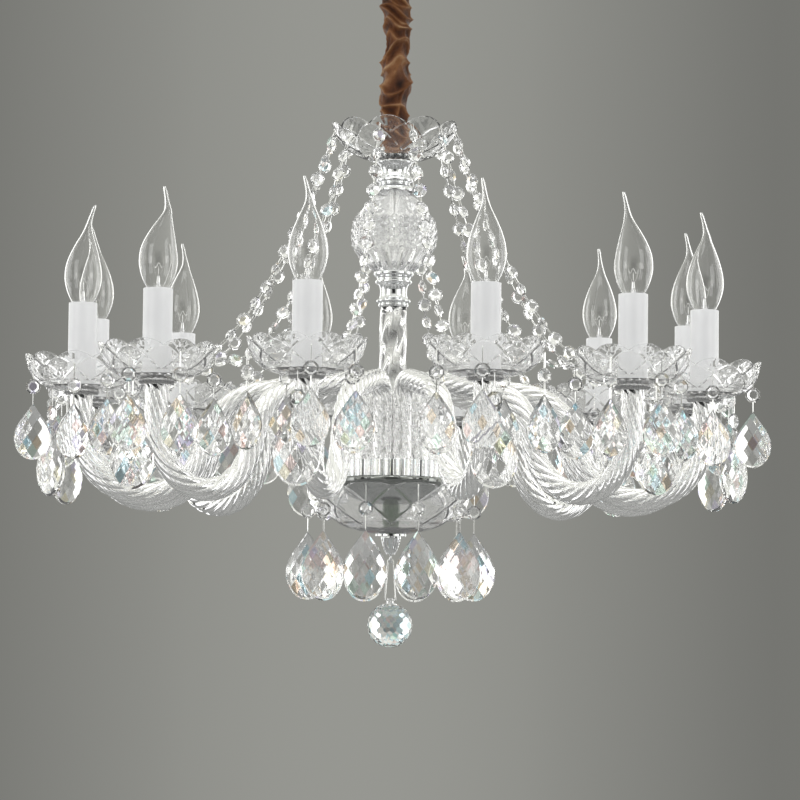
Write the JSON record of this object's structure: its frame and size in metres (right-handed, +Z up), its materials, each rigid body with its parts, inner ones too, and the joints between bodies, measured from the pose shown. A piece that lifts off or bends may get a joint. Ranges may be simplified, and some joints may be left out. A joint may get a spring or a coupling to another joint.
{
  "type": "crystal chandelier",
  "caption": "Chandelier with rope-twisted glass arms, scalloped drip dishes, candle lamps and cut-crystal drops on a turned glass and chrome stem, hung by a covered chain.",
  "frame": {"origin": "on the ceiling face, above the middle of the fixture", "axes": "+Z up to the ceiling, -Y the front, +X to the right as seen from the front; arms every 30 degrees, the first at 15 degrees from +X"},
  "size_m": [0.675, 0.675, 0.6795],
  "materials": {
    "sleeve_fabric": "brown satin, gathered",
    "plain_steel": "zinc-plated",
    "bright_chrome": "mirror polish",
    "dark_chrome": "polished, with dark dimples",
    "green_plastic": "dark green, matt",
    "pin_wire": "bright wire",
    "clear_glass": "clear, polished",
    "cut_crystal": "clear, cut and polished",
    "candle_white": "glossy white",
    "holder_plastic": "matt off-white",
    "bulb_glass": "clear, thin"
  },
  "bodies": {
    "ceiling": {"ceiling_bracket": "plain_steel", "canopy": "bright_chrome", "canopy_nuts": "plain_steel", "canopy_loop": "bright_chrome"},
    "chain": {"chain_links": "plain_steel", "chain_sleeve": "sleeve_fabric"},
    "quick_link": {"quick_link": "plain_steel"},
    "fixture": {"arm_cups": "dark_chrome", "arms": "clear_glass", "bottom_dish": "clear_glass", "bottom_spacer": "green_plastic", "candle_tubes": "candle_white", "centre_rod": "plain_steel", "column": "clear_glass", "drip_dishes": "clear_glass", "finial_nut": "bright_chrome", "glass_ball": "clear_glass", "hub_beads": "cut_crystal", "hub_drops": "cut_crystal", "hub_pins": "pin_wire", "hub_plate": "bright_chrome", "hub_ring": "bright_chrome", "lamp_holders": "holder_plastic", "lower_spool": "bright_chrome", "rim_beads": "cut_crystal", "rim_drops": "cut_crystal", "rim_pins": "pin_wire", "top_dish": "clear_glass", "top_ring": "bright_chrome", "upper_spool": "bright_chrome"},
    "bulb_01": {"bulb_01": "bulb_glass"},
    "bulb_02": {"bulb_02": "bulb_glass"},
    "bulb_03": {"bulb_03": "bulb_glass"},
    "bulb_04": {"bulb_04": "bulb_glass"},
    "bulb_05": {"bulb_05": "bulb_glass"},
    "bulb_06": {"bulb_06": "bulb_glass"},
    "bulb_07": {"bulb_07": "bulb_glass"},
    "bulb_08": {"bulb_08": "bulb_glass"},
    "bulb_09": {"bulb_09": "bulb_glass"},
    "bulb_10": {"bulb_10": "bulb_glass"},
    "bulb_11": {"bulb_11": "bulb_glass"},
    "bulb_12": {"bulb_12": "bulb_glass"},
    "large_pendant_01": {"large_pendant_01": "cut_crystal"},
    "large_pendant_02": {"large_pendant_02": "cut_crystal"},
    "large_pendant_03": {"large_pendant_03": "cut_crystal"},
    "large_pendant_04": {"large_pendant_04": "cut_crystal"},
    "large_pendant_05": {"large_pendant_05": "cut_crystal"},
    "large_pendant_06": {"large_pendant_06": "cut_crystal"},
    "large_pendant_07": {"large_pendant_07": "cut_crystal"},
    "large_pendant_08": {"large_pendant_08": "cut_crystal"},
    "large_pendant_09": {"large_pendant_09": "cut_crystal"},
    "large_pendant_10": {"large_pendant_10": "cut_crystal"},
    "large_pendant_11": {"large_pendant_11": "cut_crystal"},
    "large_pendant_12": {"large_pendant_12": "cut_crystal"},
    "drop_ball": {"ball_bail": "bright_chrome", "drop_ball": "cut_crystal"}
  },
  "joints": [
    {"name": "chain_swing", "type": "hinge", "parent": "ceiling", "child": "chain", "pos_m": [0, 0, -0.068], "axis": [1, 0, 0], "range_deg": [-12, 12], "deforming": ["chain_sleeve"]},
    {"name": "link_swing", "type": "hinge", "parent": "chain", "child": "quick_link", "pos_m": [0, 0, -0.15545], "axis": [0, 1, 0], "range_deg": [-12, 12]},
    {"name": "fixture_turn", "type": "hinge", "parent": "quick_link", "child": "fixture", "pos_m": [0, 0, -0.18145], "axis": [0, 0, 1], "range_deg": [-20, 20]},
    {"name": "bulb_01_turn", "type": "hinge", "parent": "fixture", "child": "bulb_01", "pos_m": [0.28398, 0.07609, -0.398], "axis": [0, 0, 1], "continuous": true},
    {"name": "bulb_02_turn", "type": "hinge", "parent": "fixture", "child": "bulb_02", "pos_m": [0.20789, 0.20789, -0.398], "axis": [0, 0, 1], "continuous": true},
    {"name": "bulb_03_turn", "type": "hinge", "parent": "fixture", "child": "bulb_03", "pos_m": [0.07609, 0.28398, -0.398], "axis": [0, 0, 1], "continuous": true},
    {"name": "bulb_04_turn", "type": "hinge", "parent": "fixture", "child": "bulb_04", "pos_m": [-0.07609, 0.28398, -0.398], "axis": [0, 0, 1], "continuous": true},
    {"name": "bulb_05_turn", "type": "hinge", "parent": "fixture", "child": "bulb_05", "pos_m": [-0.20789, 0.20789, -0.398], "axis": [0, 0, 1], "continuous": true},
    {"name": "bulb_06_turn", "type": "hinge", "parent": "fixture", "child": "bulb_06", "pos_m": [-0.28398, 0.07609, -0.398], "axis": [0, 0, 1], "continuous": true},
    {"name": "bulb_07_turn", "type": "hinge", "parent": "fixture", "child": "bulb_07", "pos_m": [-0.28398, -0.07609, -0.398], "axis": [0, 0, 1], "continuous": true},
    {"name": "bulb_08_turn", "type": "hinge", "parent": "fixture", "child": "bulb_08", "pos_m": [-0.20789, -0.20789, -0.398], "axis": [0, 0, 1], "continuous": true},
    {"name": "bulb_09_turn", "type": "hinge", "parent": "fixture", "child": "bulb_09", "pos_m": [-0.07609, -0.28398, -0.398], "axis": [0, 0, 1], "continuous": true},
    {"name": "bulb_10_turn", "type": "hinge", "parent": "fixture", "child": "bulb_10", "pos_m": [0.07609, -0.28398, -0.398], "axis": [0, 0, 1], "continuous": true},
    {"name": "bulb_11_turn", "type": "hinge", "parent": "fixture", "child": "bulb_11", "pos_m": [0.20789, -0.20789, -0.398], "axis": [0, 0, 1], "continuous": true},
    {"name": "bulb_12_turn", "type": "hinge", "parent": "fixture", "child": "bulb_12", "pos_m": [0.28398, -0.07609, -0.398], "axis": [0, 0, 1], "continuous": true},
    {"name": "large_pendant_01_swing", "type": "hinge", "parent": "fixture", "child": "large_pendant_01", "pos_m": [0.31006, 0.08308, -0.44927], "axis": [0.2588, -0.9659, 0], "range_deg": [-12, 12]},
    {"name": "large_pendant_02_swing", "type": "hinge", "parent": "fixture", "child": "large_pendant_02", "pos_m": [0.22698, 0.22698, -0.44927], "axis": [0.7071, -0.7071, 0], "range_deg": [-12, 12]},
    {"name": "large_pendant_03_swing", "type": "hinge", "parent": "fixture", "child": "large_pendant_03", "pos_m": [0.08308, 0.31006, -0.44927], "axis": [0.9659, -0.2588, 0], "range_deg": [-12, 12]},
    {"name": "large_pendant_04_swing", "type": "hinge", "parent": "fixture", "child": "large_pendant_04", "pos_m": [-0.08308, 0.31006, -0.44927], "axis": [0.9659, 0.2588, 0], "range_deg": [-12, 12]},
    {"name": "large_pendant_05_swing", "type": "hinge", "parent": "fixture", "child": "large_pendant_05", "pos_m": [-0.22698, 0.22698, -0.44927], "axis": [0.7071, 0.7071, 0], "range_deg": [-12, 12]},
    {"name": "large_pendant_06_swing", "type": "hinge", "parent": "fixture", "child": "large_pendant_06", "pos_m": [-0.31006, 0.08308, -0.44927], "axis": [0.2588, 0.9659, 0], "range_deg": [-12, 12]},
    {"name": "large_pendant_07_swing", "type": "hinge", "parent": "fixture", "child": "large_pendant_07", "pos_m": [-0.31006, -0.08308, -0.44927], "axis": [-0.2588, 0.9659, 0], "range_deg": [-12, 12]},
    {"name": "large_pendant_08_swing", "type": "hinge", "parent": "fixture", "child": "large_pendant_08", "pos_m": [-0.22698, -0.22698, -0.44927], "axis": [-0.7071, 0.7071, 0], "range_deg": [-12, 12]},
    {"name": "large_pendant_09_swing", "type": "hinge", "parent": "fixture", "child": "large_pendant_09", "pos_m": [-0.08308, -0.31006, -0.44927], "axis": [-0.9659, 0.2588, 0], "range_deg": [-12, 12]},
    {"name": "large_pendant_10_swing", "type": "hinge", "parent": "fixture", "child": "large_pendant_10", "pos_m": [0.08308, -0.31006, -0.44927], "axis": [-0.9659, -0.2588, 0], "range_deg": [-12, 12]},
    {"name": "large_pendant_11_swing", "type": "hinge", "parent": "fixture", "child": "large_pendant_11", "pos_m": [0.22698, -0.22698, -0.44927], "axis": [-0.7071, -0.7071, 0], "range_deg": [-12, 12]},
    {"name": "large_pendant_12_swing", "type": "hinge", "parent": "fixture", "child": "large_pendant_12", "pos_m": [0.31006, -0.08308, -0.44927], "axis": [-0.2588, -0.9659, 0], "range_deg": [-12, 12]},
    {"name": "drop_ball_swing", "type": "hinge", "parent": "fixture", "child": "drop_ball", "pos_m": [0, 0, -0.6009], "axis": [0, 1, 0], "range_deg": [-30, 30]}
  ]
}
